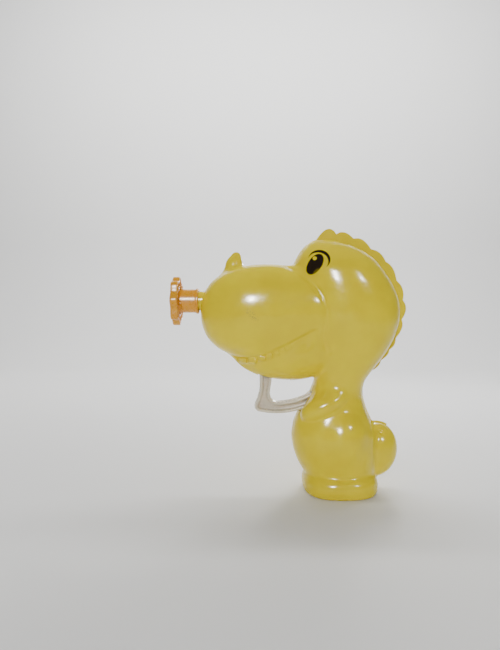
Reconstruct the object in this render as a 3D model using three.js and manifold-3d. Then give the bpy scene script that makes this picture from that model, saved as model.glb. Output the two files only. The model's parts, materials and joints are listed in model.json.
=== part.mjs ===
// Hand-powered bubble gun shaped as a cartoon dinosaur.
// Millimetres, +Z up, snout towards -X, the trigger swings in the XZ plane (Y = 0 is the mould seam).
// The origin is the middle of the flat sole that the toy stands on.
import * as THREE from 'three';
import { LoftGeometry } from 'three/addons/geometries/LoftGeometry.js';
import { mergeVertices } from 'three/addons/utils/BufferGeometryUtils.js';
import Module from 'manifold-3d';

const wasm = await Module();
wasm.setup();

// ---------- driving dimensions ----------

const GAP = 0.3;              // between pieces that touch
const WALL = 1.7;             // shell wall
const SEAM = GAP / 2;         // each half shell stops this far from Y = 0
const SOLE = 2.2;             // thickness of the sole
const BEYOND = 25;            // further out across Y than any part of the body
const TONGUE = { half: 4, reach: 3, thick: 1.6 };  // locating tongue of the left sole, across the seam

// trigger and its pivot in the head
const PIVOT = { x: -33.3, z: 82.1 };
const HUB_RADIUS = 4.9;
const TRIGGER_HALF = 4.0;     // half width of the trigger across Y
const TRIGGER_WEB = 1.4;      // half thickness of the web between its rims
const TRIGGER_RIM = 1.3;
const BAR_OUTER = 41.6;       // the lower bar is an arc about the pivot
const BAR_INNER = 36.1;
const BAR_END_ANGLE = -50;    // direction of the bar's inner end, degrees from +X
const SLOT_CLEARANCE = 0.7;   // round the trigger where it passes through the shells
const JAW_SLOT = { x: [-42.8, -26], z: [52, 67] };
const SPRING = { height: 8.5, front: -55.1, turns: 5, radius: 2.2, wire: 0.35 };  // height above the pivot
const SPRING_SEAT = { x: [-57.4, -55.4], z: [87, 93.2] };
const ARM = { front: 3, back: 2.6, above: 3.2 };  // lever that pushes the spring, about the pivot

// gear train: trigger sector, clutch pinion, drive gear, idler, fan pinion
const SECTOR = { teeth: 32, module: 1.0 };
const CLUTCH = { teeth: 8, module: 1.0 };
const WHEEL = { teeth: 32, module: 0.8 };
const PINION = { teeth: 8, module: 0.8 };
const STAGE_ONE = (SECTOR.teeth + CLUTCH.teeth) * SECTOR.module / 2;
const STAGE_TWO = (WHEEL.teeth + PINION.teeth) * WHEEL.module / 2;
const DRIVE_DIRECTION = 23;   // degrees from +X, pivot to drive axle
const IDLER_DIRECTION = 55;   // drive axle to idler axle
const FAN_DIRECTION = -20;    // idler axle to fan shaft
const PRESSURE_ANGLE = 25 * Math.PI / 180;
const BACKLASH = 0.22;        // thinning of each tooth at its pitch circle

// layers across Y
const SECTOR_LAYER = [-3.9, -0.6];
const DRIVE_LAYER = [0, 4.0];
const IDLER_LAYER = [-8.4, -5.0];
const BASE_PLATE = [4.5, 6.0];
const COVER_PLATE = [-11.6, -10.1];
const SCROLL_LAYER = [6.0, 12.3];
const SCROLL_COVER = [12.6, 13.6];

const AXLE_RADIUS = 1.0;
const PIN = { radius: 1.25, half: 11.5 };
const SECTOR_TEETH = [-3, -2, -1, 0, 1];  // teeth that the sector keeps, counted from the drive axle
const RATCHET = { radius: 5.2, root: 3.9, neck: 2.4, teeth: 8, recess: 8.2, layer: [1.1, 3.4] };
const IDLER_HUB = 2.3;
const IDLER_DISH = { inner: 3.2, outer: 9.6, depth: 1.2 };
const FAN_BLADES = { count: 8, radius: 10.2, hub: 2.6, disc: 1, half: 0.4 };
const SCROLL_WALL = 1.2;
const SCROLL_EYE = 6;         // radius of the air inlet in the scroll cover
const SCROLL_START = 11.0;    // inner radius of the scroll at its tongue
const SCROLL_END = 13.4;      // inner radius where it becomes the spout
const SPOUT_LENGTH = 16;

// nozzle and ring
const NOZZLE = { z: 98.9, radius: 5.0, bore: 3.7, tip: -80.2, back: -58.0 };
const RING_TUBE = { radius: 6.1, bore: 5.3, front: -84.0, back: -73.9 };
const RING_FACE = { radius: 12.6, bore: 7.1, lobe: 1.7, lobes: 8, front: -87.4, back: -83.6 };

// fasteners
const SCREW = { shank: 1.0, head: 2.1, headHeight: 1.6 };
const SCREW_LENGTH = { body: 14, gear: 11, mount: 9 };
const BOSS_RADIUS = 3.2;
const BODY_SEAT = 6;          // Y of the face under each body screw's head
const PLATE_LINK = 3.6;       // half width of the bars of the gear plates
const POST_RADIUS = 2.5;
const BODY_SCREWS = [[-59, 84], [-12, 121.6], [24, 80], [14.5, 66.5], [-15, 26], [9, 20]];
const GEAR_SCREWS = [[2, 84.5], [13.5, 109.5], [-27, 103]];
const MOUNT_SCREWS = [[-26, 77.5], [-2, 118.5]];

// slots in the right half that let air in to the fan
const INTAKE = { reach: 2, pitch: 4, half: 0.9, length: 9, taper: 1.5, from: 15.3 };

// axle positions that follow from the gears
function along(from, distance, degrees) {
  const angle = THREE.MathUtils.degToRad(degrees);
  return { x: from.x + distance * Math.cos(angle), z: from.z + distance * Math.sin(angle) };
}
const DRIVE = along(PIVOT, STAGE_ONE, DRIVE_DIRECTION);
const IDLER = along(DRIVE, STAGE_TWO, IDLER_DIRECTION);
const FAN = along(IDLER, STAGE_TWO, FAN_DIRECTION);
const SPOUT_X = FAN.x - SPOUT_LENGTH;

// ---------- solids ----------

function solid(geometry) {
  const bare = new THREE.BufferGeometry();
  bare.setAttribute('position', geometry.attributes.position);
  bare.setIndex(geometry.index);
  const merged = mergeVertices(bare, 1e-4);
  return new wasm.Manifold(new wasm.Mesh({
    numProp: 3,
    vertProperties: new Float32Array(merged.attributes.position.array),
    triVerts: new Uint32Array(merged.index.array),
  }));
}

function join(solids) {
  return solids.reduce((sum, piece) => sum.add(piece));
}

function cut(body, tools) {
  return tools.reduce((rest, tool) => rest.subtract(tool), body);
}

function box(x, y, z) {
  const geometry = new THREE.BoxGeometry(x[1] - x[0], y[1] - y[0], z[1] - z[0]);
  geometry.translate((x[0] + x[1]) / 2, (y[0] + y[1]) / 2, (z[0] + z[1]) / 2);
  return solid(geometry);
}

// a cylinder along Y at a place in the XZ plane
function rod(place, radius, y, sides = 16) {
  const geometry = new THREE.CylinderGeometry(radius, radius, y[1] - y[0], sides);
  geometry.translate(place.x, (y[0] + y[1]) / 2, place.z);
  return solid(geometry);
}

// an outline in the XZ plane, extruded across Y
function slab(shape, y, curveSegments = 12) {
  const geometry = new THREE.ExtrudeGeometry(shape, {
    depth: y[1] - y[0], bevelEnabled: false, curveSegments,
  });
  geometry.rotateX(Math.PI / 2);
  geometry.translate(0, y[1], 0);
  return solid(geometry);
}

// a straight bar with round ends between two places
function link(a, b, radius, y) {
  const angle = Math.atan2(b.z - a.z, b.x - a.x);
  const shape = new THREE.Shape();
  shape.absarc(a.x, a.z, radius, angle + Math.PI / 2, angle + Math.PI * 1.5, false);
  shape.absarc(b.x, b.z, radius, angle - Math.PI / 2, angle + Math.PI / 2, false);
  shape.closePath();
  return slab(shape, y, 3);
}

// a profile of [radius, x] points turned about an axis along X
function turned(profile, axis, sides = 24) {
  const points = profile.map(([radius, x]) => new THREE.Vector2(radius, x));
  const geometry = new THREE.LatheGeometry(points, sides);
  geometry.rotateZ(-Math.PI / 2);
  geometry.translate(0, axis.y, axis.z);
  return solid(geometry);
}

function place(pair) {
  return { x: pair[0], z: pair[1] };
}

// ---------- outer form of the body ----------

// the outside is finer than the hollow, which nobody sees
const FINE = { ring: 18, rows: 15, sides: 18, stacks: 10, smallSides: 12, smallStacks: 7, swell: 1 };
const COARSE = { ring: 18, rows: 15, sides: 14, stacks: 9, smallSides: 10, smallStacks: 6, swell: 1.014 };

// superellipse ring in a horizontal plane
function horizontalRing(front, back, half, z, count, power = 2.2) {
  const points = [];
  for (let i = 0; i < count; i++) {
    const angle = i / count * Math.PI * 2;
    const c = Math.cos(angle);
    const s = Math.sin(angle);
    const x = Math.sign(c) * Math.abs(c) ** (2 / power) * (back - front) / 2;
    const y = Math.sign(s) * Math.abs(s) ** (2 / power) * half;
    points.push(new THREE.Vector3((front + back) / 2 + x, y, z));
  }
  return points;
}

// an ellipsoid, or with power above 2 a fuller one, turned in the XZ plane
function egg(centre, radii, degrees, power, sides, rows) {
  const geometry = new THREE.SphereGeometry(1, sides, rows);
  const position = geometry.attributes.position;
  const p = new THREE.Vector3();
  for (let i = 0; i < position.count; i++) {
    p.fromBufferAttribute(position, i);
    const norm = (Math.abs(p.x) ** power + Math.abs(p.y) ** power + Math.abs(p.z) ** power) ** (1 / power);
    p.divideScalar(norm);
    position.setXYZ(i, p.x * radii[0], p.y * radii[1], p.z * radii[2]);
  }
  geometry.rotateY(-THREE.MathUtils.degToRad(degrees));
  geometry.translate(...centre);
  return solid(geometry);
}

// horizontal sections of the head back, neck and trunk: [z, front x, back x, half width]
const TRUNK = [
  [6, -16, 16, 15], [10, -18.8, 17.5, 16.5], [16, -22.3, 18.5, 18], [22, -24.4, 19, 18.8],
  [29, -25.4, 18.8, 18.8], [36, -24.2, 16.2, 18], [42, -21.4, 13.4, 16.2], [48, -17.2, 11.9, 14.6],
  [53, -14.9, 12.2, 14.2], [58, -13.0, 14.7, 14.8], [64, -11.5, 18.8, 16.6], [71, -11, 24.2, 19],
  [79, -11, 29.0, 21], [87, -11, 31.5, 22.2], [94, -12, 32.0, 22.5], [101, -14, 31.1, 22.2],
  [108, -18, 28.2, 20.6], [114, -22.5, 24.4, 18.4], [119, -23.8, 20.2, 15.8], [123.5, -21.6, 13.8, 12.2],
  [127, -18.8, 7.4, 8.6], [129.5, -15.6, 0.6, 4.6], [130.4, -12.4, -5.6, 1.6],
];

function trunk(inset, grain) {
  const sides = new THREE.CatmullRomCurve3(
    TRUNK.map(([, front, back, half]) => new THREE.Vector3(front, back, half)), false, 'catmullrom');
  const heights = new THREE.CatmullRomCurve3(
    TRUNK.map(([z]) => new THREE.Vector3(z, 0, 0)), false, 'catmullrom');
  const top = TRUNK.at(-1)[0];
  const bottom = TRUNK[0][0];
  const sections = [];
  for (let i = 0; i <= grain.rows; i++) {
    const side = sides.getPoint(i / grain.rows);
    const height = heights.getPoint(i / grain.rows).x;
    const shrunk = bottom + (height - bottom) * (top - inset * 1.2 - bottom) / (top - bottom);
    const half = Math.max(side.z - inset, 0.4);
    sections.push(horizontalRing(side.x + inset, side.y - inset, half, shrunk, grain.ring));
  }
  return solid(new LoftGeometry(sections, { capStart: true, capEnd: true }));
}

// the whole outer form, or with an inset the hollow inside it
function bodyForm(inset) {
  const grain = inset === 0 ? FINE : COARSE;
  const large = (centre, radii, degrees, power) => (
    egg(centre, radii.map((radius) => (radius - inset) * grain.swell), degrees, power,
      grain.sides, grain.stacks));
  const small = (centre, radii, degrees) => (
    egg(centre, radii.map((radius) => radius - inset), degrees, 2, grain.smallSides, grain.smallStacks));
  const forms = [
    trunk(inset, grain),
    large([-40.6, 0, 93.5], [32.2, 22.4, 24.5], 3, 2.3),    // snout
    large([-27, 0, 78], [32, 18.4, 20.6], 0, 2),            // lower jaw
    large([-14, 0, 92], [23, 21.2, 23.6], 0, 2),            // cheeks, between snout and head
    small([16, 0, 20.5], [14, 10, 14], -25),                // tail root
    small([23.4, 0, 28], [6.6, 6.4, 6.6], 0),               // tail tip
    large([0.5, 0, 4.6], [20.2, 19.5, 8.8], 0, 2.6),        // both feet in one block
  ];
  [-1, 1].forEach((side) => {
    forms.push(large([0.5, side * 11.5, 23.5], [13.2, 9.4, 14], -8, 2));    // thigh
    forms.push(small([-9.5, side * 11.2, 45.2], [12.5, 6.4, 5.8], 28));     // arm
  });
  if (inset === 0) {
    forms.push(horn());
  }
  const below = box([-60, 60], [-40, 40], [-30, inset === 0 ? 0 : SOLE]);
  return join(forms).subtract(below);
}

function horn() {
  const profile = [[0, -6], [5.6, -6], [5.4, 0], [4.3, 4.6], [3.0, 8.0], [1.7, 10.4], [0.8, 11.1], [0, 11.3]];
  const geometry = new THREE.LatheGeometry(profile.map(([x, y]) => new THREE.Vector2(x, y)), 18);
  geometry.rotateX(Math.PI / 2);
  geometry.rotateY(THREE.MathUtils.degToRad(12));
  geometry.translate(-56.2, 0, 113.4);
  return solid(geometry);
}

// scalloped crest over the head and down the neck, moulded on the right half shell
const CREST_VALLEYS = [
  [-12.2, 131.1], [-1.2, 134.0], [8.1, 130.8], [16.2, 126.4], [23.1, 119.5],
  [29.4, 109.8], [32.8, 99.2], [32.6, 89.2], [29.4, 79.4], [25.7, 73.1], [21.5, 67.6], [17.4, 62.1],
];
const CREST_PEAKS = [
  [-5.4, 136.6], [3.1, 134.8], [11.5, 130.6], [19.9, 124.2], [27.8, 115.3],
  [33.1, 104.2], [34.7, 94.2], [32.8, 84.7], [28.9, 75.8], [25.2, 71.0], [20.5, 65.2],
];
const CREST_THICKNESS = 4;

function crest() {
  const shape = new THREE.Shape();
  shape.moveTo(-12.2, 124);
  shape.lineTo(...CREST_VALLEYS[0]);
  CREST_PEAKS.forEach((peak, i) => {
    const [fromX, fromZ] = CREST_VALLEYS[i];
    const [toX, toZ] = CREST_VALLEYS[i + 1];
    const controlX = 2 * peak[0] - (fromX + toX) / 2;
    const controlZ = 2 * peak[1] - (fromZ + toZ) / 2;
    shape.quadraticCurveTo(controlX, controlZ, toX, toZ);
  });
  shape.lineTo(10, 62);
  shape.lineTo(20, 93);
  shape.closePath();
  return slab(shape, [SEAM, SEAM + CREST_THICKNESS], 4);
}

// ---------- half shells ----------

// annular sector about the trigger pivot, for the slot that the lower bar slides through
function barSlot(inner, outer, fromDegrees, toDegrees, half) {
  const from = THREE.MathUtils.degToRad(fromDegrees);
  const to = THREE.MathUtils.degToRad(toDegrees);
  const shape = new THREE.Shape();
  shape.absarc(PIVOT.x, PIVOT.z, outer, from, to, false);
  shape.absarc(PIVOT.x, PIVOT.z, inner, to, from, true);
  shape.closePath();
  return slab(shape, [-half, half], 10);
}

function shellHalf(side) {
  const outside = bodyForm(0);
  const hollow = bodyForm(WALL);
  const across = (from, to) => (side > 0 ? [from, to] : [-to, -from]);
  const outerHalf = outside.intersect(box([-100, 60], across(SEAM, 40), [-5, 150]));
  let shell = outerHalf.subtract(hollow);

  const supports = [];
  BODY_SCREWS.forEach((pair) => supports.push(rod(place(pair), BOSS_RADIUS, across(SEAM, BEYOND), 10)));
  supports.push(rod(PIVOT, BOSS_RADIUS, across(TRIGGER_HALF + GAP, BEYOND), 12));
  supports.push(box(SPRING_SEAT.x, across(SEAM, BEYOND), SPRING_SEAT.z));
  if (side > 0) {
    const bossFrom = BASE_PLATE[1] + GAP;
    MOUNT_SCREWS.forEach((pair) => supports.push(rod(place(pair), BOSS_RADIUS, [bossFrom, BEYOND], 10)));
  }
  shell = shell.add(join(supports).intersect(outerHalf));
  if (side > 0) {
    shell = shell.add(crest().subtract(hollow));
  } else {
    shell = shell.add(box([-TONGUE.half, TONGUE.half], [-1, TONGUE.reach], [0, TONGUE.thick]));
  }

  const slotHalf = TRIGGER_HALF + SLOT_CLEARANCE;
  const hole = NOZZLE.radius + GAP;
  const holes = [
    turned([[0, -90], [hole, -90], [hole, -62], [0, -62]], { y: 0, z: NOZZLE.z }),
    box(JAW_SLOT.x, [-slotHalf, slotHalf], JAW_SLOT.z),
    barSlot(BAR_INNER - SLOT_CLEARANCE, BAR_OUTER + SLOT_CLEARANCE, -80, -52, slotHalf),
    rod(PIVOT, PIN.radius + GAP, [-PIN.half - 0.5, PIN.half + 0.5], 16),
  ];
  const shankEnd = BODY_SEAT - SCREW_LENGTH.body - 0.5;
  BODY_SCREWS.forEach((pair) => {
    holes.push(rod(place(pair), SCREW.shank + GAP, [shankEnd, 12], 8));
    holes.push(rod(place(pair), SCREW.head + GAP, [BODY_SEAT, BEYOND + 5], 10));
  });
  if (side > 0) {
    const notch = TONGUE.half + GAP;
    holes.push(box([-notch, notch], [-1, TONGUE.reach + GAP], [-1, TONGUE.thick + GAP]));
    MOUNT_SCREWS.forEach((pair) => holes.push(rod(place(pair), SCREW.shank + GAP, [5, 16], 12)));
    for (let i = -INTAKE.reach; i <= INTAKE.reach; i++) {
      const length = INTAKE.length - Math.abs(i) * INTAKE.taper;
      const middle = FAN.x + i * INTAKE.pitch;
      const wide = [middle - INTAKE.half, middle + INTAKE.half];
      holes.push(box(wide, [INTAKE.from, BEYOND + 5], [FAN.z - length, FAN.z + length]));
    }
  }
  return cut(shell, holes);
}

// ---------- gears ----------

function involuteAngle(radius, base) {
  const angle = Math.acos(Math.min(1, base / radius));
  return Math.tan(angle) - angle;
}

// outline of the teeth whose numbers are listed, one tooth centred on the phase angle (degrees)
function toothedShape(gear, phase, { addendum, dedendum, flankPoints }, numbers = null, rootArc = null) {
  const pitch = gear.teeth * gear.module / 2;
  const base = pitch * Math.cos(PRESSURE_ANGLE);
  const tip = pitch + addendum * gear.module;
  const root = pitch - dedendum * gear.module;
  const halfAtPitch = Math.PI / (2 * gear.teeth) - BACKLASH / (2 * pitch);
  const start = Math.max(base, root);
  const radii = [];
  for (let i = 0; i < flankPoints; i++) {
    radii.push(start + (tip - start) * i / (flankPoints - 1));
  }
  const flank = radii.map((radius) => ({
    radius,
    angle: halfAtPitch + involuteAngle(pitch, base) - involuteAngle(radius, base),
  }));
  const rootHalf = base > root ? flank[0].angle + 0.02 : null;
  const points = [];
  const all = numbers ?? [...Array(gear.teeth).keys()];
  all.forEach((number) => {
    const centre = THREE.MathUtils.degToRad(phase) + number * Math.PI * 2 / gear.teeth;
    if (rootHalf) {
      points.push([root, centre - rootHalf]);
    }
    flank.forEach((point) => points.push([point.radius, centre - point.angle]));
    [...flank].reverse().forEach((point) => points.push([point.radius, centre + point.angle]));
    if (rootHalf) {
      points.push([root, centre + rootHalf]);
    }
  });
  if (rootArc) {
    rootArc.forEach((point) => points.push(point));
  }
  return new THREE.Shape(points.map(([radius, angle]) => (
    new THREE.Vector2(radius * Math.cos(angle), radius * Math.sin(angle)))));
}

function gearSolid(gear, centre, phase, y, form) {
  return slab(toothedShape(gear, phase, form), y).translate([centre.x, 0, centre.z]);
}

// tooth phase of a second gear that meshes with a first one across a direction (degrees)
function meshPhase(direction, firstPhase, firstTeeth, secondTeeth) {
  return direction + 180 + 180 / secondTeeth + (direction - firstPhase) * firstTeeth / secondTeeth;
}

const SECTOR_PHASE = DRIVE_DIRECTION;
const CLUTCH_PHASE = meshPhase(DRIVE_DIRECTION, SECTOR_PHASE, SECTOR.teeth, CLUTCH.teeth);
const DRIVE_PHASE = 0;
const IDLER_PINION_PHASE = meshPhase(IDLER_DIRECTION, DRIVE_PHASE, WHEEL.teeth, PINION.teeth);
const IDLER_PHASE = 0;
const FAN_PINION_PHASE = meshPhase(FAN_DIRECTION, IDLER_PHASE, WHEEL.teeth, PINION.teeth);
const WHEEL_FORM = { addendum: 0.7, dedendum: 1.25, flankPoints: 2 };
const PINION_FORM = { addendum: 0.9, dedendum: 1.05, flankPoints: 3 };

// ---------- trigger ----------

function triggerOutline(inset) {
  const start = THREE.MathUtils.degToRad(-100);
  const end = THREE.MathUtils.degToRad(BAR_END_ANGLE) - (inset > 0 ? 0.03 : 0);
  const shape = new THREE.Shape();
  const hub = HUB_RADIUS - inset;
  shape.absarc(PIVOT.x, PIVOT.z, hub, Math.PI * 1.08, Math.PI * 0.25, true);
  shape.absarc(PIVOT.x, PIVOT.z, hub, Math.PI * 0.25, -Math.PI * 0.22, true);
  shape.lineTo(-35.7 - inset, 58.9);
  shape.lineTo(-36.8 - inset, 51.5);
  shape.quadraticCurveTo(-37.1 - inset, 46.6 - inset, -32.2, 46.0 - inset);
  shape.absarc(PIVOT.x, PIVOT.z, BAR_INNER + inset, THREE.MathUtils.degToRad(-87), end, false);
  shape.absarc(PIVOT.x, PIVOT.z, BAR_OUTER - inset, end, start, true);
  shape.quadraticCurveTo(-45.2 + inset, 41.4 + inset, -44.2 + inset, 45.2);
  shape.quadraticCurveTo(-41.9 + inset, 50, -41.7 + inset, 54);
  shape.lineTo(-41.7 + inset, 61);
  shape.closePath();
  return shape;
}

function trigger() {
  const full = [-TRIGGER_HALF, TRIGGER_HALF];
  const plate = slab(triggerOutline(0), full, 5);
  const recess = triggerOutline(TRIGGER_RIM);
  const hubKeep = rod(PIVOT, HUB_RADIUS + TRIGGER_RIM, full);
  const nearRecess = slab(recess, [-TRIGGER_HALF - 1, -TRIGGER_WEB], 5).subtract(hubKeep);
  const farRecess = slab(recess, [TRIGGER_WEB, TRIGGER_HALF + 1], 5).subtract(hubKeep);

  const armTop = PIVOT.z + SPRING.height + ARM.above;
  const arm = box([PIVOT.x - ARM.front, PIVOT.x + ARM.back], full, [PIVOT.z, armTop]);
  const step = Math.PI * 2 / SECTOR.teeth;
  const phase = THREE.MathUtils.degToRad(SECTOR_PHASE);
  const hubPoints = [[4, phase + 2.2 * step], [4, phase - 4 * step]];
  const sector = slab(
    toothedShape(SECTOR, SECTOR_PHASE, WHEEL_FORM, SECTOR_TEETH, hubPoints), SECTOR_LAYER);
  const body = join([plate, arm, sector.translate([PIVOT.x, 0, PIVOT.z])]);
  return cut(body, [nearRecess, farRecess, rod(PIVOT, PIN.radius + GAP, [-6, 6], 16)]);
}

// compression spring between the trigger arm and the seat in the snout
function triggerSpring() {
  const { height, front, turns, radius, wire } = SPRING;
  const from = front + wire;
  const to = PIVOT.x - ARM.front - GAP - wire;
  class Helix extends THREE.Curve {
    getPoint(t, target = new THREE.Vector3()) {
      const angle = t * turns * Math.PI * 2;
      const z = PIVOT.z + height + radius * Math.sin(angle);
      return target.set(from + (to - from) * t, radius * Math.cos(angle), z);
    }
  }
  const section = new THREE.Shape();
  section.absarc(0, 0, wire, 0, Math.PI * 2, false);
  const geometry = new THREE.ExtrudeGeometry(section, {
    steps: turns * 9, curveSegments: 3, bevelEnabled: false, extrudePath: new Helix(),
  });
  return solid(geometry);
}

// ---------- gear train pieces ----------

// pinion with the ratchet wheel of the one-way clutch on its end
function clutchPinion() {
  const pinion = gearSolid(CLUTCH, DRIVE, CLUTCH_PHASE, SECTOR_LAYER, PINION_FORM);
  const neck = rod(DRIVE, RATCHET.neck, [SECTOR_LAYER[1] - GAP, RATCHET.layer[1]], 16);
  const points = [];
  for (let i = 0; i < RATCHET.teeth; i++) {
    const angle = i / RATCHET.teeth * Math.PI * 2;
    const steep = angle + Math.PI * 2 / RATCHET.teeth - 0.06;
    points.push(new THREE.Vector2(RATCHET.root * Math.cos(angle), RATCHET.root * Math.sin(angle)));
    points.push(new THREE.Vector2(RATCHET.radius * Math.cos(steep), RATCHET.radius * Math.sin(steep)));
  }
  const wheel = slab(new THREE.Shape(points), RATCHET.layer).translate([DRIVE.x, 0, DRIVE.z]);
  return join([pinion, neck, wheel]).subtract(rod(DRIVE, AXLE_RADIUS + GAP, [-6, 6], 14));
}

// large gear with a round recess for the ratchet
function driveGear() {
  const gear = gearSolid(WHEEL, DRIVE, DRIVE_PHASE, DRIVE_LAYER, WHEEL_FORM);
  const recess = rod(DRIVE, RATCHET.recess, [RATCHET.layer[0] - GAP, 5], 28);
  const bore = rod(DRIVE, RATCHET.neck + GAP, [-2, 2], 20);
  return cut(gear, [recess, bore]);
}

// sprung pawl lying between the ratchet and the recess wall
function clutchPawl() {
  const inner = RATCHET.radius + GAP;
  const outer = RATCHET.recess - GAP;
  const shape = new THREE.Shape();
  shape.absarc(DRIVE.x, DRIVE.z, outer, 0.2, 1.9, false);
  shape.absarc(DRIVE.x, DRIVE.z, inner + 0.9, 1.9, 1.5, true);
  shape.absarc(DRIVE.x, DRIVE.z, inner, 1.3, 0.2, true);
  shape.closePath();
  return slab(shape, [RATCHET.layer[0] + 0.1, RATCHET.layer[1] - 0.1], 4);
}

function idlerGear() {
  const wheel = gearSolid(WHEEL, IDLER, IDLER_PHASE, IDLER_LAYER, WHEEL_FORM);
  const pinion = gearSolid(PINION, IDLER, IDLER_PINION_PHASE, [-1.2, 3.8], PINION_FORM);
  const hub = rod(IDLER, IDLER_HUB, [IDLER_LAYER[1] - GAP, -1], 16);
  const dished = [IDLER_LAYER[0] - 1, IDLER_LAYER[0] + IDLER_DISH.depth];
  const dish = rod(IDLER, IDLER_DISH.outer, dished, 24).subtract(rod(IDLER, IDLER_DISH.inner, dished, 16));
  return cut(join([wheel, pinion, hub]), [dish, rod(IDLER, AXLE_RADIUS + GAP, [-10, 6], 14)]);
}

function fanPinion() {
  const pinion = gearSolid(PINION, FAN, FAN_PINION_PHASE, [-8.8, -4.4], PINION_FORM);
  return pinion.subtract(rod(FAN, AXLE_RADIUS + GAP, [-10, 0], 14));
}

function fan() {
  const [near, far] = [SCROLL_LAYER[0] + 0.9, SCROLL_LAYER[1] - 0.9];
  const { count, radius, hub: hubRadius, disc: discThickness, half } = FAN_BLADES;
  const disc = rod(FAN, radius, [near, near + discThickness], 32);
  const hub = rod(FAN, hubRadius, [near, far], 16);
  const blades = [];
  for (let i = 0; i < count; i++) {
    const blade = box([hubRadius - 0.4, radius - GAP], [near + discThickness / 2, far], [-half, half]);
    blades.push(blade.rotate([0, i * 360 / count, 0]).translate([FAN.x, 0, FAN.z]));
  }
  return join([disc, hub, ...blades]).subtract(rod(FAN, AXLE_RADIUS + GAP, [4, 15], 14));
}

// ---------- blower housing and plates ----------

// scroll outline, growing clockwise from its tongue to the spout that leaves towards -X
function scrollShape(extra, spoutX = SPOUT_X) {
  const tongue = THREE.MathUtils.degToRad(215);
  const sweep = THREE.MathUtils.degToRad(305);
  const steps = 24;
  const points = [new THREE.Vector2(spoutX, FAN.z - SCROLL_END - extra)];
  for (let i = steps; i >= 0; i--) {
    const angle = tongue - sweep * i / steps;
    const radius = SCROLL_START + (SCROLL_END - SCROLL_START) * i / steps + extra;
    points.push(new THREE.Vector2(FAN.x + radius * Math.cos(angle), FAN.z + radius * Math.sin(angle)));
  }
  points.push(new THREE.Vector2(spoutX, points.at(-1).y));
  return new THREE.Shape(points);
}

function blowerHousing() {
  const [a, b, c] = GEAR_SCREWS.map(place);
  const [d, e] = MOUNT_SCREWS.map(place);
  const links = [
    [d, DRIVE], [DRIVE, a], [DRIVE, IDLER], [IDLER, e], [IDLER, c], [IDLER, b], [a, FAN], [FAN, b],
  ];
  const plate = join(links.map(([from, to]) => link(from, to, PLATE_LINK, BASE_PLATE)));
  const postLayer = [COVER_PLATE[1] + GAP, BASE_PLATE[1]];
  const posts = GEAR_SCREWS.map((pair) => rod(place(pair), POST_RADIUS, postLayer, 14));
  const outer = slab(scrollShape(SCROLL_WALL), [BASE_PLATE[0], SCROLL_LAYER[1]]);
  const inner = slab(scrollShape(0, SPOUT_X - 2), [SCROLL_LAYER[0], SCROLL_LAYER[1] + 1]);
  const holes = [
    rod(DRIVE, AXLE_RADIUS + GAP, [4, 7], 14),
    rod(IDLER, AXLE_RADIUS + GAP, [4, 7], 14),
    rod(FAN, AXLE_RADIUS + GAP, [4, 7], 14),
    ...MOUNT_SCREWS.map((pair) => rod(place(pair), SCREW.shank + GAP, [4, 7], 12)),
    ...GEAR_SCREWS.map((pair) => rod(place(pair), SCREW.shank + GAP, [-12, 2], 12)),
  ];
  return cut(join([plate, outer, ...posts]), [inner, ...holes]);
}

function blowerCover() {
  const cover = slab(scrollShape(SCROLL_WALL), SCROLL_COVER);
  return cover.subtract(rod(FAN, SCROLL_EYE, [SCROLL_COVER[0] - 1, SCROLL_COVER[1] + 1], 28));
}

function gearCover() {
  const [a, b, c] = GEAR_SCREWS.map(place);
  const links = [[c, IDLER], [IDLER, b], [c, DRIVE], [DRIVE, a], [a, FAN], [FAN, b]];
  const plate = join(links.map(([from, to]) => link(from, to, PLATE_LINK - 0.2, COVER_PLATE)));
  const holes = [DRIVE, IDLER, FAN].map((centre) => rod(centre, AXLE_RADIUS + GAP, [-13, -9], 14));
  GEAR_SCREWS.forEach((pair) => holes.push(rod(place(pair), SCREW.shank + GAP, [-13, -9], 12)));
  return cut(plate, holes);
}

// ---------- air path and ring ----------

function nozzle() {
  const { radius, bore, tip, back } = NOZZLE;
  const flange = [-64.9, -63.5];
  return turned([
    [bore, back], [bore, tip + 0.4], [bore + 0.4, tip], [radius - 0.9, tip], [radius - 0.2, tip + 0.5],
    [radius, tip + 1.4], [radius, flange[0]], [radius + 2.2, flange[0]], [radius + 2.2, flange[1]],
    [radius, flange[1]], [radius, back], [bore, back],
  ], { y: 0, z: NOZZLE.z });
}

// bent tube from the blower spout to the nozzle
function airDuct() {
  const path = new THREE.CatmullRomCurve3([
    new THREE.Vector3(NOZZLE.back + GAP * 2, 0, NOZZLE.z),
    new THREE.Vector3(-53, 0.6, 99.2),
    new THREE.Vector3(-42, 6.0, 100.0),
    new THREE.Vector3(-31, 10.3, 98.0),
    new THREE.Vector3(-21, 10.5, 92.6),
    new THREE.Vector3(-13, 10.3, 88.3),
    new THREE.Vector3(SPOUT_X - GAP * 2, 10.2, FAN.z - SCROLL_END + 3.3),
  ]);
  const section = new THREE.Shape();
  section.absarc(0, 0, 3.9, 0, Math.PI * 2, false);
  const bore = new THREE.Path();
  bore.absarc(0, 0, 3.0, 0, Math.PI * 2, true);
  section.holes.push(bore);
  return solid(new THREE.ExtrudeGeometry(section, {
    steps: 12, curveSegments: 5, bevelEnabled: false, extrudePath: path,
  }));
}

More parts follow.
